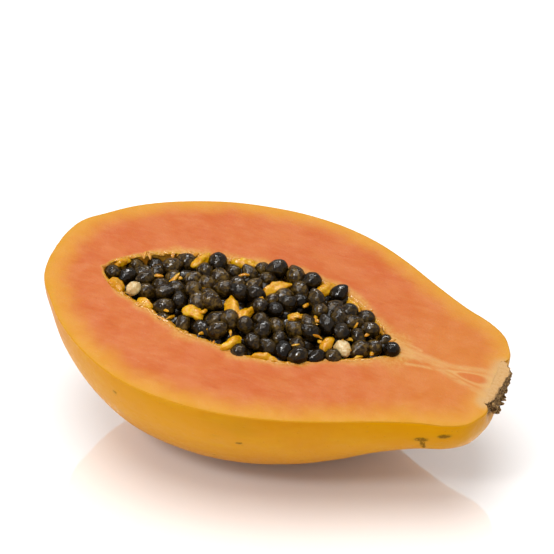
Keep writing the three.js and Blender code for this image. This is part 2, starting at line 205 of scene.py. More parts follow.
# Lights: azimuth and elevation that they shine from, distance, width and height in metres, and
# watts. A light with no height is round. The strips show in glossy surfaces only.
WORLD_STRENGTH = 0.72
LIGHTS = {
    "overhead": (-20, 86, 1.4, 1.1, 0, 17),
    "front": (-20, 50, 1.2, 0.22, 0, 3.6),
    "side": (-85, 16, 1.2, 0.5, 0, 2.8),
    "back_strip": (194, 56, 1.2, 1.1, 0.07, 12),
    "front_strip": (-30, 62, 1.2, 0.05, 0.45, 7),
}
FLOOR_HALF = 4.0
FLOOR_IOR = 3.1


# Small helpers


def seeded_random(seed):
    """The same run of numbers from 0 to 1 for the same seed, as in the solids."""
    whole = 0xFFFFFFFF
    state = seed

    def draw():
        nonlocal state
        state = (state + 0x6D2B79F5) & whole
        t = state
        t = ((t ^ (t >> 15)) * (t | 1)) & whole
        t ^= (t + (((t ^ (t >> 7)) * (t | 61)) & whole)) & whole
        return ((t ^ (t >> 14)) & whole) / 4294967296

    return draw


def through(points, x):
    """Smooth curve through (x, y) points, read at x."""
    known = np.asarray(points, float)
    xs, ys = known[:, 0], known[:, 1]
    last = len(xs) - 1
    before = np.maximum(np.arange(last + 1) - 1, 0)
    after = np.minimum(np.arange(last + 1) + 1, last)
    slope = (ys[after] - ys[before]) / (xs[after] - xs[before])
    x = np.asarray(x, float)
    i = np.clip(np.searchsorted(xs, x, side="right") - 1, 0, last - 1)
    span = xs[i + 1] - xs[i]
    t = np.clip((x - xs[i]) / span, 0, 1)
    rise = t * t * (3 - 2 * t)
    ease_in = t * (1 - t) ** 2
    ease_out = t * t * (t - 1)
    bend = span * (ease_in * slope[i] + ease_out * slope[i + 1])
    return ys[i] + rise * (ys[i + 1] - ys[i]) + bend


def spline(points, steps):
    """Points along an even Catmull-Rom curve."""
    last = len(points) - 1
    run = np.linspace(0, last, steps + 1)
    k = np.minimum(np.floor(run).astype(int), last - 1)
    t = (run - k)[:, None]
    p0, p1 = points[np.maximum(k - 1, 0)], points[k]
    p2, p3 = points[k + 1], points[np.minimum(k + 2, last)]
    v0, v1 = (p2 - p0) / 2, (p3 - p1) / 2
    return ((2 * p1 - 2 * p2 + v0 + v1) * t + (3 * p2 - 3 * p1 - 2 * v0 - v1)) * t * t + v0 * t + p1


def evenly(points, steps, bunching=0.0):
    """The same line with steps even stretches; bunching draws them towards both ends."""
    lengths = np.hypot(*np.diff(points, axis=0).T)
    run = np.concatenate([[0], np.cumsum(lengths)])
    share = np.linspace(0, 1, steps + 1)
    share = (1 - bunching) * share + bunching * (1 - np.cos(np.pi * share)) / 2
    return np.stack([np.interp(share * run[-1], run, column) for column in points.T], axis=1)


def skin_point(s, radius, angle):
    """Fruit coordinates of the faintly lobed skin, at an angle from the far edge of the cut."""
    wave = np.cos(LOBES * (angle - math.radians(LOBE_TURN)))
    out = radius * (1 + through(LOBE_DEPTH, s) * wave)
    w = through(AXIS_DRIFT, s) + out * np.cos(angle)
    return np.stack([s + 0 * out, w, out * np.sin(angle)], -1)


def rotation(axis, degrees):
    """The matrix of a turn about the x, y or z axis."""
    i = ("xyz".index(axis) + 1) % 3
    j = (i + 1) % 3
    made = np.eye(3)
    made[i, i] = made[j, j] = math.cos(math.radians(degrees))
    made[j, i] = math.sin(math.radians(degrees))
    made[i, j] = -made[j, i]
    return made


def rest_pose():
    """Turn and shift that put the middle of the flat spot at the origin."""
    lean = rotation("y", PITCH) @ rotation("x", TILT)
    profile = spline(OUTLINE, 400)
    angle = np.radians(np.arange(-180, 0.1, 0.5))[None, :]
    around = skin_point(profile[:, :1] + 0 * angle, profile[:, 1:], angle) @ lean.T
    flat = around.reshape(-1, 3)
    lowest = flat[flat[:, 2].argmin()]
    return lean, -lowest - (0, 0, FLAT_SPOT_DEPTH)


LEAN, SHIFT = rest_pose()


def place(points):
    """Fruit coordinates in millimetres to the row frame in metres."""
    return (np.asarray(points, float) @ LEAN.T + SHIFT) / 1000


def bumps(points, size, seed):
    """Smooth noise from -1 to 1 at each point, with features of about that size."""
    shift = Vector((seed, 1.7 * seed, -seed))
    return np.array([noise.noise(Vector(p) / size + shift) for p in np.reshape(points, (-1, 3))])


def layered(points, *layers):
    """Bumps of several sizes added up, each layer with its height, size and seed."""
    return sum(height * bumps(points, size, seed) for height, size, seed in layers)


# Meshes


class Patchwork:
    """Patches of points in fruit coordinates, welded into one mesh, with values at each point."""

    def __init__(self):
        self.points = []
        self.faces = []
        self.coats = []
        self.values = {}
        self.count = 0

    def add(self, points, faces, coat=0, **values):
        """Points and their faces; coat says which of the piece's finishes the faces wear."""
        points = np.reshape(points, (-1, 3))
        self.points.append(points)
        self.coats += [coat] * len(faces)
        self.faces += [tuple(corner + self.count for corner in face) for face in faces]
        for name, value in values.items():
            spread = np.broadcast_to(np.ravel(value), len(points))
            self.values.setdefault(name, []).append(spread)
        self.count += len(points)

    def grid(self, points, coat=0, **values):
        """A sheet of points in rows and columns."""
        rows, columns = points.shape[:2]
        faces = [
            (i * columns + j, i * columns + j + 1, (i + 1) * columns + j + 1, (i + 1) * columns + j)
            for i in range(rows - 1)
            for j in range(columns - 1)
        ]
        self.add(points, faces, coat, **values)

    def build(self, name, finishes, node, slot, weld=True, sharp=40, floor=False):
        """One Blender object that rides on the root and stands for that CAD node."""
        points = np.concatenate(self.points)
        world = place(points)
        if floor:
            world[:, 2] = np.maximum(world[:, 2], 0)
        mesh = bpy.data.meshes.new(name)
        mesh.from_pydata(world.tolist(), [], self.faces)
        grain = mesh.attributes.new("grain", "FLOAT_VECTOR", "POINT")
        grain.data.foreach_set("vector", points.astype(np.float32).ravel())
        for key, parts in self.values.items():
            layer = mesh.attributes.new(key, "FLOAT", "POINT")
            layer.data.foreach_set("value", np.concatenate(parts).astype(np.float32))
        for finish in finishes:
            mesh.materials.append(finish)
        mesh.polygons.foreach_set("material_index", self.coats)
        if weld:
            weld_mesh(mesh)
        mesh.shade_smooth()
        mesh.set_sharp_from_angle(angle=math.radians(sharp))
        piece = bpy.data.objects.new(name, mesh)
        bpy.context.scene.collection.objects.link(piece)
        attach(piece, "root")
        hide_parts(node)


def weld_mesh(mesh):
    """Joins points that lie together, and turns all faces outwards."""
    shape = bmesh.new()
    shape.from_mesh(mesh)
    bmesh.ops.remove_doubles(shape, verts=shape.verts, dist=5e-6)
    bmesh.ops.dissolve_degenerate(shape, edges=shape.edges, dist=1e-7)
    bmesh.ops.recalc_face_normals(shape, faces=shape.faces)
    shape.to_mesh(mesh)
    shape.free()


def ball(rings, segments):
    """Points and faces of a round ball whose poles lie on the first axis."""
    polar = np.pi * np.arange(1, rings) / rings
    around = 2 * np.pi * np.arange(segments) / segments
    p, a = np.meshgrid(polar, around, indexing="ij")
    middle = np.stack([np.cos(p), np.sin(p) * np.cos(a), np.sin(p) * np.sin(a)], -1).reshape(-1, 3)
    points = np.concatenate([[(1, 0, 0)], middle, [(-1, 0, 0)]])
    last = len(points) - 1
    faces = []
    for k in range(segments):
        n = (k + 1) % segments
        faces.append((0, 1 + k, 1 + n))
        faces.append((last, last - segments + n, last - segments + k))
        for i in range(rings - 2):
            a0 = 1 + i * segments
            faces.append((a0 + k, a0 + segments + k, a0 + segments + n, a0 + n))
    return points, faces


def distance_to_line(points, line):
    """Distance in the cut face from each (s, w) point to a broken line."""
    line = np.asarray(line, float)
    steps = line[1:] - line[:-1]
    squares = np.maximum((steps**2).sum(1), 1e-12)
    best = np.full(len(points), 1e9)
    for start, step, square in zip(line[:-1], steps, squares):
        off = points - start
        t = np.clip(off @ step / square, 0, 1)
        best = np.minimum(best, np.hypot(*(off - t[:, None] * step).T))
    return best


# The half fruit


def fruit_profile():
    """Outline from the blossom end to the socket's middle, as (s, radius)."""
    outside = evenly(spline(OUTLINE, 1600), PROFILE_STEPS, 0.35)
    floor = np.linspace(SOCKET_RADIUS, 0, 8)
    socket = np.stack([np.full(8, SOCKET_FLOOR), floor], axis=1)
    return np.concatenate([outside, socket])


def rim_lines(count):
    """The hollow's far and near rim, each from the blossom side to the stem side, as (s, w)."""
    share = np.linspace(0, 1, count)
    share = 0.45 * share + 0.55 * (1 - np.cos(np.pi * share)) / 2
    s = HOLLOW_START + share * (HOLLOW_END - HOLLOW_START)
    ends = np.minimum(1, 6 * np.sin(np.pi * share))
    meet = np.minimum(1, 16 * np.sin(np.pi * share))
    middle = (through(FAR_RIM, s) + through(NEAR_RIM, s)) / 2
    lines = []
    for rim, seed in ((FAR_RIM, 3.1), (NEAR_RIM, 8.4)):
        at = np.stack([s, 0 * s, 0 * s], -1)
        wobble = layered(at, (1, 5.2, seed), (0.6, 2.1, seed), (0.3, 0.9, seed))
        w = middle + meet * (through(rim, s) - middle)
        lines.append(np.stack([s, w + ends * RIM_WOBBLE * wobble], -1))
    return lines


def cut_shares(gap):
    """Shares of the way from the skin to the hollow's rim, close together at both."""
    near_skin = np.array([0.35, 0.8, 1.3, 1.9, 2.7, 3.7, 5]) / gap
    near_rim = 1 - np.array([3.2, 2.4, 1.7, 1.1, 0.6, 0.25, 0]) / gap
    middle = np.linspace(near_skin[-1], near_rim[0], CUT_STEPS)[1:-1]
    return np.concatenate([near_skin, middle, near_rim])


def vein_reach(flat):
    """Distance of each (s, w) point to the nearest vein bundle, in that bundle's half widths."""
    reach = np.full(len(flat), 50.0)
    for line, half_width in VEINS:
        curve = spline(np.array(line, float), 40)
        reach = np.minimum(reach, distance_to_line(flat, curve) / half_width)
    return reach


def eye_reach(flat):
    """0 in the middle of the eye and 1 on its outline, which is pointed towards the hollow."""
    s, w, half_length, half_width = EYE
    along = (flat[:, 0] - s) / half_length
    taper = np.clip(0.72 + 0.4 * along, 0.3, 1.1)
    return np.hypot(along, (flat[:, 1] - w) / (half_width * taper))


def scar_strength(s, angle, radius):
    strength = np.zeros(np.shape(s))
    for at, degrees, half_length, half_width in SCARS:
        along = (s - at) / half_length
        around = (angle - math.radians(degrees)) * radius / half_width
        strength = np.maximum(strength, np.exp(-(along**2) - around**2))
    return strength


def build_fruit():
    work = Patchwork()
    profile = fruit_profile()
    s, radius = profile[:, 0], profile[:, 1]
    edge = np.minimum(EDGE_ROUNDING / np.maximum(radius, 0.1), 0.15)
    turn = np.linspace(0, 1, ROUND_STEPS + 1)[None, :]
    angle = -(edge[:, None] + turn * (np.pi - 2 * edge[:, None]))
    along = np.broadcast_to(s[:, None], angle.shape)
    out = np.broadcast_to(radius[:, None], angle.shape)
    skin = skin_point(along, out, angle)
    scar = scar_strength(along, angle, out)
    far_off = dict.fromkeys(("hollow_mm", "vein", "eye", "stub_mm"), 50)
    work.grid(skin, SKIN_COAT, rind=0, scar=scar, under_mm=-skin[:, :, 2], **far_off)

    for side, rim in zip((0.0, np.pi), rim_lines(len(profile))):
        sharp_edge = skin_point(s, radius, np.full(len(s), side))[:, :2]
        gap = np.hypot(*(rim - sharp_edge).T)[:, None]
        share = np.array([cut_shares(g) for g in gap[:, 0]])
        flat = sharp_edge[:, None, :] + share[:, :, None] * (rim - sharp_edge)[:, None, :]
        level = np.zeros(flat.shape[:2])
        level[:, -len(RIM_DROP) :] = RIM_DROP
        face = np.concatenate([flat, level[:, :, None]], -1)
        soft = layered(face, (0.16, 14, 2.2), (0.05, 3.5, 5))
        fade = np.clip(share * gap / 4, 0, 1)
        face[:, :, 2] += soft.reshape(face.shape[:2]) * fade
        rows = np.concatenate([skin[:, :1] if side == 0 else skin[:, -1:], face], axis=1)
        add_cut_side(work, rows, profile, rim)
        add_wall(work, face[:, -1], rim, side)
    return work


def add_cut_side(work, rows, profile, rim):
    """One side of the cut face, with the distances that its colours follow."""
    spots = rows[:, :, :2].reshape(-1, 2)
    every_other = profile[: PROFILE_STEPS + 1 : 2].T
    sharp_edges = [skin_point(*every_other, np.full(every_other.shape[1], a)) for a in (0.0, np.pi)]
    from_skin = np.minimum(*(distance_to_line(spots, line[:, :2]) for line in sharp_edges))
    rind = (from_skin / rind_depth(spots)).reshape(rows.shape[:2])
    rind[:, 0] = 0
    from_rim = distance_to_line(spots, rim[::2]).reshape(rows.shape[:2])
    from_rim *= through(PALE_RIM, rows[:, :, 0])
    from_rim[:, -1] = 0
    stub = [(SOCKET_FLOOR, STUB_MIDDLE - STUB_RADIUS), (SOCKET_FLOOR, STUB_MIDDLE + STUB_RADIUS)]
    work.grid(
        rows,
        FLESH_COAT,
        rind=rind,
        hollow_mm=from_rim,
        vein=vein_reach(spots),
        eye=eye_reach(spots),
        stub_mm=distance_to_line(spots, stub),
        scar=0,
        under_mm=0,
    )


def rind_depth(flat):
    """How far the yellow under the skin reaches in at each (s, w) point."""
    side = np.clip((flat[:, 1] - through(AXIS_DRIFT, flat[:, 0])) / 15, -1, 1)
    tip = np.clip(1 - flat[:, 0] / 22, 0, 1)
    return RIND_DEPTH - RIND_LESS_FAR * side + RIND_MORE_AT_TIP * tip


def add_wall(work, top, rim, side):
    """The hollow's wall from one rim down to the line along its bottom."""
    s = rim[:, 0]
    middle = (through(FAR_RIM, s) + through(NEAR_RIM, s)) / 2
    half = np.abs(rim[:, 1] - middle)
    bottom = (through(FAR_RIM, s) - through(NEAR_RIM, s)) / 2 * HOLLOW_DEPTH_SHARE
    sign = 1 if side == 0 else -1
    start = RIM_DROP[-1]
    rows = [top]
    for k in range(1, WALL_STEPS + 1):
        down = k / WALL_STEPS * np.pi / 2
        w = middle + sign * half * math.cos(down)
        h = start - (bottom + start) * math.sin(down)
        rows.append(np.stack([s, w, np.minimum(h, start - 0.01 * k)], -1))
    wall = np.stack(rows, axis=1)
    depth = -np.linspace(0, 1, WALL_STEPS + 1)[None, :] * WALL_REACH + 0 * wall[:, :, 0]
    far_off = dict.fromkeys(("rind", "vein", "eye", "stub_mm"), 50)
    work.grid(wall, FLESH_COAT, hollow_mm=depth, scar=0, under_mm=0, **far_off)


# Seeds


def shaped(unit, spot):
    """A ball's points stretched, turned and moved to where the seed or strand lies."""
    half = np.array([spot["length"], spot["width"], spot["thick"]]) / 2
    turn = rotation("z", spot["heading"]) @ rotation("y", spot.get("dip", 0))
    return (unit * half) @ turn.T + (spot["s"], spot["w"], spot["lift"])


def lumpy(points, spot, coarse, fine):
    """Points pushed in and out from the spot's middle by noise, both amounts in millimetres."""
    middle = np.array([spot["s"], spot["w"], spot["lift"]])
    outward = points - middle
    outward /= np.maximum(np.linalg.norm(outward, axis=1), 1e-6)[:, None]
    push = layered(points, (coarse, 2.4, 0), (fine, 0.9, 3))
    return points + push[:, None] * outward


def as_spot(entry):
    return dict(zip(("s", "w", "heading", "length", "width", "thick", "lift"), entry))


def room_beside_strands(s, w):
    """How far a point lies from the side of the nearest strand or pale seed."""
    room = []
    for strand in map(as_spot, STRANDS + PALE_SEEDS):
        reach = max(strand["length"] - strand["width"], 0) / 2
        heading = math.radians(strand["heading"])
        forward = np.array([math.cos(heading), math.sin(heading)])
        offset = np.array([s - strand["s"], w - strand["w"]])
        nearest = np.clip(offset @ forward, -reach, reach)
        room.append(np.hypot(*(offset - nearest * forward)) - strand["width"] / 2)
    return min(room)


def seeds_level(s, w, far, near):
    """Height of the heaped seeds at one point between their far and near edge."""
    across = (w - (far + near) / 2) / ((far - near) / 2)
    return float(through(SEED_LEVEL, s)) + SEED_CROWN * (1 - across * across)


def seed_spot(s, w, lift, size, draws):
    """One seed's place, size and turn; the draws turn, dip and flatten it."""
    turn, dip, flatness = draws
    return {
        "s": s,
        "w": w,
        "lift": lift,
        "heading": 360 * turn,
        "dip": SEED_DIP * (dip - 0.5),
        "length": 2 * SEED_HALF_LENGTH * size,
        "width": 2 * SEED_HALF_WIDTH * size,
        "thick": 2 * SEED_HALF_WIDTH * size * (0.92 + 0.16 * flatness),
    }


def seed_places(random, drop=0.0, shift=0.0, inset=SEED_INSET):
    """Seeds on an uneven honeycomb, as in the solids; drop and shift make a layer underneath."""
    places = []
    row_step = SEED_PITCH * math.sin(math.pi / 3)
    for row in range(SEED_ROWS):
        for column in range(SEED_COLUMNS):
            draws = [random() for _ in range(7)]
            offset = SEED_PITCH / 2 if row % 2 else 0
            s = HOLLOW_START + 1 + offset + column * SEED_PITCH + shift
            s += (draws[0] - 0.5) * 2 * SEED_JITTER
            w = FIRST_SEED_ROW + row * row_step + (draws[1] - 0.5) * 2 * SEED_JITTER + shift
            far = float(through(FAR_RIM, s)) - inset
            near = float(through(NEAR_RIM, s)) + inset
            if s > HOLLOW_END - 2 or s < HOLLOW_START + 2 or w > far or w < near:
                continue
            if not drop and room_beside_strands(s, w) < STRAND_CLEARANCE:
                continue
            lift = seeds_level(s, w, far, near) + (draws[2] - 0.5) * 2 * SEED_ROUGHNESS + drop
            places.append(seed_spot(s, w, lift, 0.9 + 0.2 * draws[3], draws[4:]))
    return places


def add_seed(work, spot, random, fineness, brightest=1.0):
    """One seed: egg-shaped with a small point, in a slightly wrinkled coat."""
    unit, faces = ball(*fineness)
    x = unit[:, 0]
    form = unit * np.stack([1 + 0 * x, 1 - 0.1 * x, 1 - 0.1 * x], -1)
    form[:, 0] += 0.14 * np.maximum(x, 0) ** 7
    form[:, 1] *= 1 + 0.12 * (random() - 0.5)
    seed = lumpy(shaped(form, spot), spot, 0.26, 0.12)
    # A brightest below 1 keeps a seed in the darker tones, painted shade for the seeds underneath
    work.add(seed, faces, tone=brightest * random())


def build_seeds():
    work = Patchwork()
    random = seeded_random(404)
    top = seed_places(seeded_random(20))
    for spot in top + rim_seed_places(seeded_random(61), top):
        add_seed(work, spot, random, SEED_BALL)
    # The seeds underneath keep to the darker tones, as painted shade
    for spot in seed_places(seeded_random(33), LOWER_SEEDS, SEED_PITCH / 2, LOWER_SEED_INSET):
        add_seed(work, spot, random, LOWER_SEED_BALL, LOWER_SEED_SHADE_TONE)
    add_seed_bed(work)
    return work


def rim_seed_places(random, placed):
    """Seeds tucked in under the rim, where the honeycomb leaves room."""
    places = []
    for rim, inward in ((FAR_RIM, -1), (NEAR_RIM, 1)):
        s = HOLLOW_START + 4
        while s < HOLLOW_END - 3:
            s += 1.1 + random()
            draws = [random() for _ in range(6)]
            w = float(through(rim, s)) + inward * (1.4 + 1.2 * draws[0])
            near_seed = min(math.hypot(s - spot["s"], w - spot["w"]) for spot in placed + places)
            if near_seed < RIM_SEED_SPACING * SEED_PITCH:
                continue
            if room_beside_strands(s, w) < RIM_SEED_CLEARANCE:
                continue
            lift = float(through(SEED_LEVEL, s)) - 1.6 + 1.8 * draws[2]
            places.append(seed_spot(s, w, lift, 0.82 + 0.24 * draws[1], draws[3:]))
    return places


def add_seed_bed(work):
    """The dark, lumpy top of the seeds that lie deeper in the hollow."""
    s = np.linspace(HOLLOW_START + 0.8, HOLLOW_END - 0.8, 130)[:, None]
    share = np.linspace(0, 1, 50)[None, :]
    far, near = through(FAR_RIM, s), through(NEAR_RIM, s)
    level = through(SEED_LEVEL, s) - BED_BELOW_SEEDS
    sunk = np.clip(-level / (HOLLOW_DEPTH_SHARE * (far - near) / 2), 0, 0.995)
    w = (far + near) / 2 + (2 * share - 1) * ((far - near) / 2 * np.sqrt(1 - sunk**2) + 0.3)
    sheet = np.stack([s + 0 * w, w, level + 0 * w], -1)
    sheet[:, :, 2] += BED_LUMPS * bumps(sheet, 3.2, 6).reshape(sheet.shape[:2])
    # The deeper seeds are dark brown-black, and tone 0 keeps them in the darkest seed colours:
    # painted shade deep in the hollow
    work.grid(sheet, tone=0)


# Pulp


def add_tongue(work, spot, random, fineness, torn, **values):
    """A soft strand: it narrows to its tip, bends, and is lumpy, grooved and torn."""
    unit, faces = ball(*fineness)
    x = unit[:, 0]
    around = np.arctan2(unit[:, 2], unit[:, 1])
    bend = 0.9 * (random() - 0.5)
    twist = 6 * random()
    form = unit.copy()
    form[:, 1:] *= (1 - 0.22 * x + 0.12 * np.cos(3 * around + twist + 2 * x))[:, None]
    form[:, 1] += bend * (x * x - 0.3)
    form[:, 2] += 0.25 * (0.4 - x * x)
    strand = lumpy(shaped(form, spot), spot, torn, 0.4 * torn)
    work.add(strand, faces, tone=random(), **values)


def build_rim_pulp():
    """Strands that grow out of the rim, the ragged fringe round it and shreds on the seeds."""
    work = Patchwork()
    random = seeded_random(7)
    for entry in STRANDS:
        if entry[-1]:
            add_tongue(work, as_spot(entry), random, ROOTED_STRAND_BALL, 0.7, pale=0)
    for rim, inward in ((FAR_RIM, -1), (NEAR_RIM, 1)):
        add_membrane(work, rim, inward)
        add_fringe(work, rim, inward, random)
    add_shreds(work, random)
    return work


def add_membrane(work, rim, inward):
    """A thin torn skin that hangs from the rim over the seeds, thick at its root."""
    s = np.arange(HOLLOW_START + 1, HOLLOW_END - 1, MEMBRANE_STEP)
    at = np.stack([s, 0 * s, 0 * s], -1)
    reach = MEMBRANE_REACH + layered(at, (1.6, 4.5, 2 + inward), (1.2, 1.4, 5 + inward))
    reach = np.clip(reach, MEMBRANE_LEAST, MEMBRANE_MOST)
    reach *= np.minimum(1, (s - HOLLOW_START) / 8)
    if inward < 0:
        # Shorter where the far wall shows behind the seeds
        reach *= 0.3 + 0.7 * np.clip((s - 45) / 15, 0, 1)
    root = through(rim, s) - inward * MEMBRANE_ROOT
    share = np.linspace(0, 1, 9)[None, :]
    across = root[:, None] + inward * (share * (reach[:, None] + MEMBRANE_ROOT))
    root_dip = 0.35 * np.maximum(0, 1 - 6 * share)
    top = MEMBRANE_TOP - root_dip - 0.35 * share - 0.55 * share**2 * reach[:, None]
    under = top - 0.75 * (1 - share) - 0.12
    w = np.concatenate([across, across[:, ::-1]], axis=1)
    h = np.concatenate([top, under[:, ::-1]], axis=1)
    sheet = np.stack([s[:, None] + 0 * w, w, h], -1)
    loose = np.minimum(1, abs(w - root[:, None]))
    sheet[:, :, 2] += 0.3 * loose * bumps(sheet, 1.6, 4).reshape(w.shape)
    pale = 1 - 0.8 * np.concatenate([share, share[:, ::-1]], axis=1) + 0 * w
    work.grid(sheet, tone=0.5, pale=pale)


def add_fringe(work, rim, inward, random):
    """Short torn crumbs at all angles, and thin skins that lie along the rim."""
    s = HOLLOW_START + 1.5
    while s < HOLLOW_END - 1.5:
        s += 1.4 + 2.2 * random()
        along_rim = random() < 0.3
        slope = float(through(rim, s + 1) - through(rim, s - 1)) / 2
        heading = math.degrees(math.atan(slope)) + 30 * (random() - 0.5)
        if not along_rim:
            heading = inward * 90 + 140 * (random() - 0.5)
        add_tongue(
            work,
            {
                "s": s,
                "w": float(through(rim, s)) + inward * (0.5 * random() - 0.15),
                "heading": heading,
                "dip": 20 * (random() - 0.2),
                "length": 4 + 3 * random() if along_rim else 1.6 + 2.2 * random(),
                "width": 0.9 + 0.6 * random(),
                "thick": 0.7 + 0.5 * random(),
                "lift": -1.2 + 1.0 * random(),
            },
            random,
            CRUMB_BALL,
            0.22,
            pale=0.8,
        )


def add_shreds(work, random):
    """Small threads of pulp caught between the seeds."""
    for _ in range(SHREDS):
        s = HOLLOW_START + 8 + (HOLLOW_END - HOLLOW_START - 14) * random()
        far, near = float(through(FAR_RIM, s)) - 1, float(through(NEAR_RIM, s)) + 1
        w = near + (far - near) * random()
        level = seeds_level(s, w, far, near)
        add_tongue(
            work,
            {
                "s": s,
                "w": w,
                "heading": 360 * random(),
                "dip": 50 * (random() - 0.5),
                "length": 2.2 + 3.6 * random(),
                "width": 0.8 + 1.0 * random(),
                "thick": 0.7 + 0.6 * random(),
                "lift": level - 0.6 + 2.2 * random(),
            },
            random,
            CRUMB_BALL,
            0.35,
            pale=0.2,
        )


def build_strand(entry, seed):
    """A loose strand, a little plumper than its solid and risen among the seeds."""
    work = Patchwork()
    spot = as_spot(entry)
    spot["length"] *= STRAND_LONGER
    spot["width"] *= STRAND_WIDER
    spot["lift"] += STRAND_RISE
    add_tongue(work, spot, seeded_random(seed), LOOSE_STRAND_BALL, 0.7, pale=0)
    return work


def build_pale_seed(entry, seed):
    """A seed that never ripened: small, blunt and creased."""
    work = Patchwork()
    unit, faces = ball(*PALE_SEED_BALL)
    x = unit[:, 0]
    around = 5 * np.arctan2(unit[:, 2], unit[:, 1]) + 4 * seeded_random(seed)()
    creases = 0.05 * np.cos(around) * np.sqrt(np.maximum(1 - x * x, 0))
    lumps = layered(unit, (0.12, 0.7, seed), (0.05, 0.25, seed))
    form = unit * (1 + creases + lumps)[:, None]
    form[:, 1:] *= (1 - 0.15 * x)[:, None]
    work.add(shaped(form, as_spot(entry)), faces)
    return work


# Stem stub


def build_stem():
    """Half of the dry, corky disc that the fruit hung from, cut through its middle."""
    work = Patchwork()
    base = SOCKET_FLOOR - GAP
    corners = np.array([
        (base, 0.02), (base, 0.6), (base, 1.03), (base + 1.3, 1.08), (STUB_END - 1.6, 1.02),
        (STUB_END - 0.5, 0.84), (STUB_END - 0.3, 0.5), (STUB_END - 0.6, 0.02),
    ])
    profile = evenly(spline(corners * (1, STUB_RADIUS), 300), 60)
    angle = np.linspace(0, -np.pi, 91)[None, :]
    s, radius = profile[:, :1] + 0 * angle, profile[:, 1:] + 0 * angle
    rim = np.stack([np.cos(angle), np.sin(angle), 0 * angle], -1)
    ragged = (bumps(rim * 4, 1, 4) + 0.6 * bumps(rim * 11, 1, 2)).reshape(angle.shape)
    outer = np.clip(radius / STUB_RADIUS, 0, 1) ** 2
    radius = radius * (1 + 0.07 * outer * ragged)
    in_socket = np.clip((STUB_END - 1.6 - s) / 1.5, 0, 1)
    radius = radius + SOCKET_FILL * outer * in_socket * np.maximum(np.cos(angle), 0) ** 2
    points = np.stack([s, STUB_MIDDLE + radius * np.cos(angle), radius * np.sin(angle)], -1)
    crust = layered(points, (1, 3.4, 5), (0.7, 1.4, 3), (0.5, 0.6, 1))
    face = np.clip((s - base - 1) / 2, 0, 1)
    worn = STUB_WEAR * (STUB_MIDDLE + 0.4 * STUB_RADIUS - points[:, :, 1])
    points[:, :, 0] += (0.9 * crust.reshape(s.shape) - worn) * face
    work.grid(points, crust_mm=STUB_DEPTH, tone=0)
    across = np.linspace(0, 1, 25)[None, :, None]
    section = points[:, :1] + across * (points[:, -1:] - points[:, :1])
    crust_mm = section[:, :, 0] - base + CRUST_SLANT * (STUB_MIDDLE - section[:, :, 1])
    work.grid(section, crust_mm=crust_mm, tone=0)
    random = seeded_random(12)
    for k in range(STUB_CHIPS):
        turn = -math.pi * (k + random()) / STUB_CHIPS
        out = STUB_RADIUS * (0.8 + 0.2 * random())
        add_tongue(
            work,
            {
                "s": STUB_END - 1.6 * random(),
                "w": STUB_MIDDLE + out * math.cos(turn),
                "heading": 90 * (random() - 0.5),
                "dip": 120 * (random() - 0.5),
                "length": 1.4 + 1.4 * random(),
                "width": 1 + random(),
                "thick": 0.5 + 0.5 * random(),
                "lift": min(out * math.sin(turn), -0.5),
            },
            random,
            CHIP_BALL,
            0.5,
            crust_mm=STUB_DEPTH,
        )
    return work


# Finishes


def srgb(red, green, blue):
    """An 8-bit colour as it looks on the cut face, as the linear colour of the surface."""
    shares = [value / 255 for value in (red, green, blue)]
    linear = [c / 12.92 if c <= 0.04045 else ((c + 0.055) / 1.055) ** 2.4 for c in shares]
    return (*(c / LIGHT_LEVEL for c in linear), 1)


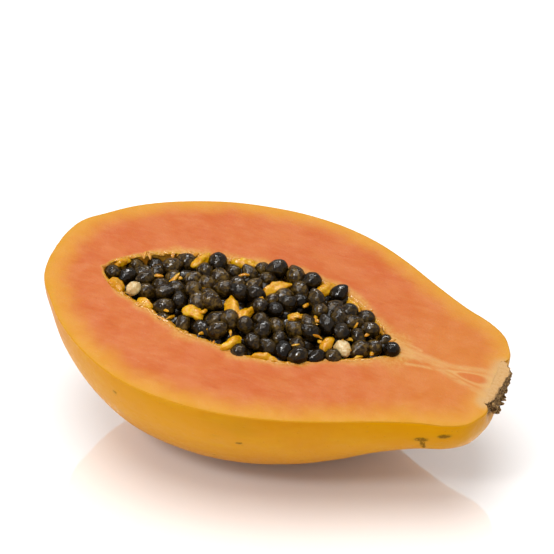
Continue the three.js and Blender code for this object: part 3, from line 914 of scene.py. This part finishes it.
class Finish:
    """One material's node tree; each call adds a node and returns its output."""

    def __init__(self, name):
        self.material = bpy.data.materials.new(name)
        self.material.use_nodes = True
        self.tree = self.material.node_tree
        self.tree.nodes.clear()

    def feed(self, socket, value):
        if isinstance(value, bpy.types.NodeSocket):
            self.tree.links.new(value, socket)
        else:
            socket.default_value = value

    def node(self, kind, inputs, **settings):
        made = self.tree.nodes.new(kind)
        for name, value in settings.items():
            setattr(made, name, value)
        for key, value in inputs.items():
            self.feed(made.inputs[key], value)
        return made

    def attribute(self, name):
        return self.node("ShaderNodeAttribute", {}, attribute_name=name).outputs["Fac"]

    def grain(self, stretch=(1, 1, 1)):
        """Fruit coordinates in millimetres, each multiplied by its share of stretch."""
        made = self.node("ShaderNodeAttribute", {}, attribute_name="grain")
        scaled = self.node(
            "ShaderNodeVectorMath", {0: made.outputs["Vector"], 1: stretch}, operation="MULTIPLY"
        )
        return scaled.outputs["Vector"]

    def noise(self, scale, stretch=(1, 1, 1), detail=3.0, roughness=0.5):
        inputs = {"Vector": self.grain(stretch), "Scale": scale}
        inputs |= {"Detail": detail, "Roughness": roughness}
        return self.node("ShaderNodeTexNoise", inputs).outputs["Fac"]

    def cells(self, scale, stretch=(1, 1, 1)):
        inputs = {"Vector": self.grain(stretch), "Scale": scale}
        return self.node("ShaderNodeTexVoronoi", inputs).outputs["Distance"]

    def math(self, operation, first, second):
        return self.node("ShaderNodeMath", {0: first, 1: second}, operation=operation).outputs[0]

    def between(self, value, low, high):
        """0 below low, 1 above high, and smooth in between."""
        inputs = {"Value": value, "From Min": low, "From Max": high}
        made = self.node("ShaderNodeMapRange", inputs, interpolation_type="SMOOTHSTEP")
        return made.outputs["Result"]

    def below(self, value, low, high):
        """1 below low, 0 above high, and smooth in between."""
        return self.math("SUBTRACT", 1.0, self.between(value, low, high))

    def plus(self, value, more, share):
        """A value with that share of another added."""
        return self.math("ADD", value, self.math("MULTIPLY", more, share))

    def tint(self, colour, where, share, over):
        """A colour with another laid over it where that says, by that share."""
        return self.mix(self.math("MULTIPLY", where, share), colour, over)

    def mix(self, amount, first, second):
        inputs = {0: amount, 6: first, 7: second}
        return self.node("ShaderNodeMix", inputs, data_type="RGBA").outputs[2]

    def blend(self, amount, first, second):
        """A plain number between two others."""
        inputs = {0: amount, 2: first, 3: second}
        return self.node("ShaderNodeMix", inputs, data_type="FLOAT").outputs[0]

    def bump(self, height, millimetres, under=None):
        inputs = {"Height": height, "Distance": millimetres / 1000, "Strength": 1.0}
        if under is not None:
            inputs["Normal"] = under
        return self.node("ShaderNodeBump", inputs).outputs["Normal"]

    def finish(self, colour, roughness, normal=None, coat_normal=None, **constants):
        inputs = {"Base Color": colour, "Roughness": roughness}
        surface = self.node("ShaderNodeBsdfPrincipled", inputs)
        for socket, value in (("Normal", normal), ("Coat Normal", coat_normal or normal)):
            if value is not None:
                self.feed(surface.inputs[socket], value)
        for name, value in constants.items():
            surface.inputs[name.replace("_", " ")].default_value = value
        output = self.tree.nodes.new("ShaderNodeOutputMaterial")
        self.tree.links.new(surface.outputs[0], output.inputs["Surface"])
        return self.material


def skin_finish():
    """Ripe ochre skin with faint streaks, pores, flecks and healed scars."""
    f = Finish("papaya_skin")
    ripeness = f.between(f.noise(0.022, (0.6, 1, 1), 3), 0.35, 0.7)
    colour = f.mix(ripeness, srgb(255, 174, 0), srgb(242, 154, 0))
    # Painted shade: the skin turns darker further down its underside, below the cut face
    colour = f.mix(f.between(f.attribute("under_mm"), 10, 50), colour, srgb(226, 140, 0))
    green = f.between(f.noise(0.05, (0.5, 1, 1), 3), 0.56, 0.78)
    colour = f.tint(colour, green, 0.3, srgb(220, 174, 4))
    streaks = f.between(f.noise(0.35, (0.08, 1, 1), 3, 0.6), 0.48, 0.75)
    colour = f.tint(colour, streaks, 0.35, srgb(255, 188, 8))
    bruise = f.between(f.noise(0.5, (0.1, 1, 1), 4, 0.7), 0.62, 0.8)
    colour = f.tint(colour, bruise, 0.3, srgb(204, 128, 4))
    pores = f.below(f.cells(0.42), 0.06, 0.16)
    colour = f.tint(colour, pores, 0.3, srgb(208, 124, 2))
    flecks = f.below(f.cells(0.1, (0.7, 1, 1)), 0.03, 0.07)
    colour = f.tint(colour, flecks, 0.55, srgb(156, 96, 20))
    torn = f.between(f.noise(1.1, detail=4), 0.2, 0.6)
    scar = f.between(f.math("MULTIPLY", f.attribute("scar"), torn), 0.12, 0.5)
    halo = f.between(f.attribute("scar"), 0.01, 0.3)
    colour = f.tint(colour, halo, 0.35, srgb(210, 158, 16))
    colour = f.tint(colour, scar, 0.85, srgb(142, 98, 24))
    normal = f.bump(f.plus(f.math("MULTIPLY", pores, -0.5), scar, 0.8), 0.12)
    normal = f.bump(f.noise(0.12, detail=2), 0.35, normal)
    satin = f.between(f.noise(0.6, detail=4, roughness=0.6), 0.3, 0.7)
    return f.finish(
        colour,
        f.blend(scar, f.blend(satin, 0.34, 0.44), 0.7),
        normal,
        Subsurface_Weight=0.06,
        Subsurface_Radius=(1.0, 0.4, 0.05),
        Subsurface_Scale=0.002,
        Specular_IOR_Level=0.07,
        Specular_Tint=(1.0, 0.7, 0.05, 1),
    )


def flesh_finish():
    """Salmon flesh, yellower at its edges, with pale veins and more orange at the stem."""
    f = Finish("papaya_flesh")
    rind, hollow_mm = f.attribute("rind"), f.attribute("hollow_mm")
    wander = f.math("SUBTRACT", f.noise(0.11, detail=4), 0.5)

    # Blotches, and fibres that run along the fruit
    blotch = f.between(f.noise(0.05, (1, 1.6, 1), 4, 0.6), 0.36, 0.64)
    colour = f.mix(blotch, srgb(224, 107, 42), srgb(230, 123, 58))
    fibres = f.between(f.noise(0.75, (0.25, 1, 1), 4, 0.6), 0.45, 0.72)
    colour = f.tint(colour, fibres, 0.25, srgb(238, 148, 84))
    dark = f.between(f.noise(0.42, (0.3, 1, 1), 5, 0.68), 0.54, 0.74)
    colour = f.tint(colour, dark, 0.35, srgb(212, 92, 36))
    speck = f.between(f.noise(1.5, (0.3, 1, 1), 2, 0.5), 0.7, 0.8)
    colour = f.tint(colour, speck, 0.5, srgb(250, 180, 130))

    # More orange towards the stem
    to_stub = f.attribute("stub_mm")
    neck = f.below(to_stub, 10, 55)
    colour = f.tint(colour, neck, 0.55, srgb(236, 148, 54))

    # Yellow under the skin, deepest in the last millimetre
    inward = f.plus(rind, wander, 1.0)
    colour = f.mix(f.between(inward, 0.0, 1.6), srgb(242, 166, 48), colour)
    line = f.plus(rind, wander, 0.12)
    colour = f.mix(f.between(line, 0.03, 0.3), srgb(238, 166, 32), colour)

    # Paler and stringy round the hollow, and orange down its wall
    to_rim = f.plus(hollow_mm, wander, 5)
    torn = f.between(f.noise(0.9, (1, 1, 1), 4, 0.65), 0.3, 0.7)
    pale = f.mix(torn, srgb(230, 144, 52), srgb(242, 176, 92))
    colour = f.mix(f.between(to_rim, 0.3, 3.4), pale, colour)
    wall = f.mix(f.between(f.noise(0.5), 0.35, 0.65), srgb(255, 188, 62), srgb(244, 154, 36))
    colour = f.mix(f.between(hollow_mm, -1.2, -0.1), wall, colour)

    # Cream next to the stub, in the veins and round the eye between them
    stub_edge = f.plus(to_stub, wander, 4)
    colour = f.mix(f.between(stub_edge, 0.5, 5.0), srgb(236, 184, 118), colour)
    reach = f.plus(f.attribute("vein"), f.noise(0.6, (0.3, 1, 1), 4), 0.9)
    broken = f.between(f.noise(0.3, (0.4, 1, 1)), 0.25, 0.5)
    core = f.math("MULTIPLY", f.below(reach, 0.4, 2.6), broken)
    colour = f.tint(colour, core, 0.66, srgb(244, 188, 112))
    edge = f.plus(f.attribute("eye"), wander, 0.3)
    outside = f.below(edge, 1.05, 1.5)
    ring = f.math("MULTIPLY", f.between(edge, 0.7, 1.0), outside)
    colour = f.tint(colour, ring, 0.6, srgb(244, 188, 112))
    iris = f.below(edge, 0.45, 0.9)
    colour = f.tint(colour, iris, 0.85, srgb(228, 122, 44))

    moist = f.between(f.noise(0.16, detail=4), 0.35, 0.7)
    normal = f.bump(f.plus(f.noise(1.5, (0.8, 1, 1), 3, 0.55), dark, -0.5), 0.09)
    normal = f.bump(f.noise(0.12, detail=2), 0.3, normal)
    return f.finish(
        colour,
        f.blend(moist, 0.34, 0.52),
        normal,
        Subsurface_Weight=0.12,
        Subsurface_Radius=(1.0, 0.35, 0.08),
        Subsurface_Scale=0.003,
        Specular_IOR_Level=0.12,
        Specular_Tint=(1.0, 0.7, 0.45, 1),
    )


def seed_finish():
    """Black-brown seeds in a thin, wet, grey-brown coat."""
    f = Finish("papaya_seeds")
    tone = f.attribute("tone")
    mottle = f.between(f.noise(0.6, detail=4, roughness=0.6), 0.4, 0.72)
    dark = f.mix(tone, srgb(15, 8, 2), srgb(48, 31, 10))
    coat = f.mix(tone, srgb(40, 26, 6), srgb(144, 110, 42))
    colour = f.mix(f.math("MULTIPLY", mottle, 0.85), dark, coat)
    normal = f.bump(f.noise(0.75, detail=2.5), 0.45)
    return f.finish(
        colour,
        f.blend(mottle, 0.2, 0.4),
        normal,
        f.bump(f.noise(0.45, detail=1.5), 0.5),
        Coat_Weight=0.36,
        Coat_Roughness=0.03,
        Specular_IOR_Level=0.02,
    )


def pulp_finish():
    """Soft yellow pulp, deeper orange in places, and paler where it is the torn fringe."""
    f = Finish("papaya_pulp")
    streak = f.between(f.noise(0.8, detail=4, roughness=0.6), 0.35, 0.7)
    strand = f.mix(streak, srgb(244, 162, 0), srgb(255, 202, 8))
    strand = f.tint(strand, f.attribute("tone"), 0.4, srgb(226, 134, 0))
    fringe = f.mix(streak, srgb(234, 148, 34), srgb(244, 174, 70))
    colour = f.mix(f.attribute("pale"), strand, fringe)
    normal = f.bump(f.noise(1.1, (0.6, 1, 1), 3), 0.35)
    return f.finish(
        colour,
        f.blend(streak, 0.22, 0.36),
        normal,
        Subsurface_Weight=0.15,
        Subsurface_Radius=(1.0, 0.5, 0.1),
        Subsurface_Scale=0.002,
        Coat_Weight=0.36,
        Coat_Roughness=0.05,
        Specular_IOR_Level=0.08,
    )


def pale_seed_finish():
    """Cream-coloured, faintly mottled seeds in a moist coat."""
    f = Finish("papaya_pale_seed")
    mottle = f.between(f.noise(0.9, detail=4), 0.35, 0.7)
    colour = f.mix(mottle, srgb(232, 186, 108), srgb(250, 222, 158))
    normal = f.bump(f.noise(1.6, detail=4), 0.3)
    return f.finish(
        colour,
        f.blend(mottle, 0.3, 0.45),
        normal,
        Subsurface_Weight=0.3,
        Subsurface_Radius=(1.0, 0.6, 0.3),
        Subsurface_Scale=0.002,
        Coat_Weight=0.4,
        Coat_Roughness=0.08,
    )


def stem_finish():
    """Cork that is pale next to the flesh and dark, dry and cracked on its outer face."""
    f = Finish("papaya_stem")
    crumb = f.noise(1.1, detail=6, roughness=0.7)
    bark = f.mix(f.between(crumb, 0.38, 0.62), srgb(106, 70, 30), srgb(212, 166, 102))
    cracks = f.below(f.cells(1.2), 0.08, 0.25)
    bark = f.tint(bark, cracks, 0.6, srgb(66, 42, 18))
    inside = f.mix(f.between(crumb, 0.4, 0.7), srgb(238, 188, 124), srgb(226, 170, 98))
    ragged = f.math("SUBTRACT", f.noise(0.5, detail=4), 0.5)
    depth = f.plus(f.attribute("crust_mm"), ragged, 4)
    outer = f.between(depth, 2.8, 3.8)
    colour = f.mix(outer, inside, bark)
    normal = f.bump(f.math("MULTIPLY", crumb, f.blend(outer, 0.05, 1.0)), 0.7)
    return f.finish(colour, f.blend(crumb, 0.6, 0.95), normal, Specular_IOR_Level=0.2)


# The stage: floor, light and camera


CAMERA_AZIMUTH = 19.43
CAMERA_ELEVATION = 35
CAMERA_DISTANCE = 0.9167
CAMERA_LENS = 152.39
CAMERA_AIM = Vector(place((0, 0, 0))) + Vector((0.051784, 0.093877, -0.060725))


def towards(azimuth, elevation):
    a, e = math.radians(azimuth), math.radians(elevation)
    return Vector((math.sin(a) * math.cos(e), -math.cos(a) * math.cos(e), math.sin(e)))


def hang(data, azimuth, elevation, distance, aim):
    """Puts a light or camera into the scene, looking at a point from that side."""
    made = bpy.data.objects.new(data.name, data)
    back = towards(azimuth, elevation)
    made.location = aim + back * distance
    made.rotation_euler = back.to_track_quat("Z", "Y").to_euler()
    bpy.context.scene.collection.objects.link(made)
    return made


def add_camera():
    data = bpy.data.cameras.new("camera")
    data.lens = CAMERA_LENS
    data.sensor_width = 36
    data.clip_start = 0.01
    camera = hang(data, CAMERA_AZIMUTH, CAMERA_ELEVATION, CAMERA_DISTANCE, CAMERA_AIM)
    bpy.context.scene.camera = camera


def add_light(name, azimuth, elevation, distance, width, height, watts):
    """A round soft box, or a strip that puts bright arcs on the wet seeds."""
    data = bpy.data.lights.new(name, "AREA")
    data.shape = "RECTANGLE" if height else "DISK"
    data.size = width
    if height:
        data.size_y = height
    data.energy = watts
    hang(data, azimuth, elevation, distance, Vector()).visible_diffuse = not height


def add_world():
    world = bpy.data.worlds.new("studio")
    world.use_nodes = True
    background = world.node_tree.nodes["Background"]
    background.inputs["Color"].default_value = (1, 1, 1, 1)
    background.inputs["Strength"].default_value = WORLD_STRENGTH
    bpy.context.scene.world = world


def add_floor():
    """A pale, glossy table top that lights the fruit softly from below."""
    mesh = bpy.data.meshes.new("floor")
    signs = ((-1, -1), (1, -1), (1, 1), (-1, 1))
    corners = [(x * FLOOR_HALF, y * FLOOR_HALF, 0) for x, y in signs]
    mesh.from_pydata(corners, [], [(0, 1, 2, 3)])
    floor = bpy.data.objects.new("floor", mesh)
    bpy.context.scene.collection.objects.link(floor)
    f = Finish("white_floor")
    haze = f.node("ShaderNodeTexNoise", {"Scale": 3.0}).outputs["Fac"]
    colour = f.mix(haze, (0.93, 0.92, 0.915, 1), (0.95, 0.943, 0.94, 1))
    mesh.materials.append(f.finish(colour, f.blend(haze, 0.03, 0.05), IOR=FLOOR_IOR))


# Assembly


pulp = pulp_finish()
pale = pale_seed_finish()
coats = [skin_finish(), flesh_finish()]
build_fruit().build("papaya_half", coats, "fruit_half", "fruit_flesh_and_skin", floor=True)
build_rim_pulp().build("rim_pulp", [pulp], "fruit_half", "fruit_flesh_and_skin", weld=False)
build_seeds().build("seeds", [seed_finish()], "seed_mass", "dark_seeds", weld=False)
build_stem().build("stem", [stem_finish()], "stem_stub", "dry_stem", sharp=60)
loose = [entry for entry in STRANDS if not entry[-1]]
for number, entry in enumerate(loose, 1):
    build_strand(entry, 50 + number).build(
        f"strand_{number}", [pulp], f"pulp_strand_{number}", "yellow_pulp", weld=False
    )
for number, entry in enumerate(PALE_SEEDS, 1):
    build_pale_seed(entry, 80 + number).build(
        f"pale_{number}", [pale], f"pale_seed_{number}", "pale_seeds", weld=False
    )

add_floor()
add_world()
for name, values in LIGHTS.items():
    add_light(name, *values)
add_camera()
bpy.context.scene.view_settings.view_transform = "Standard"
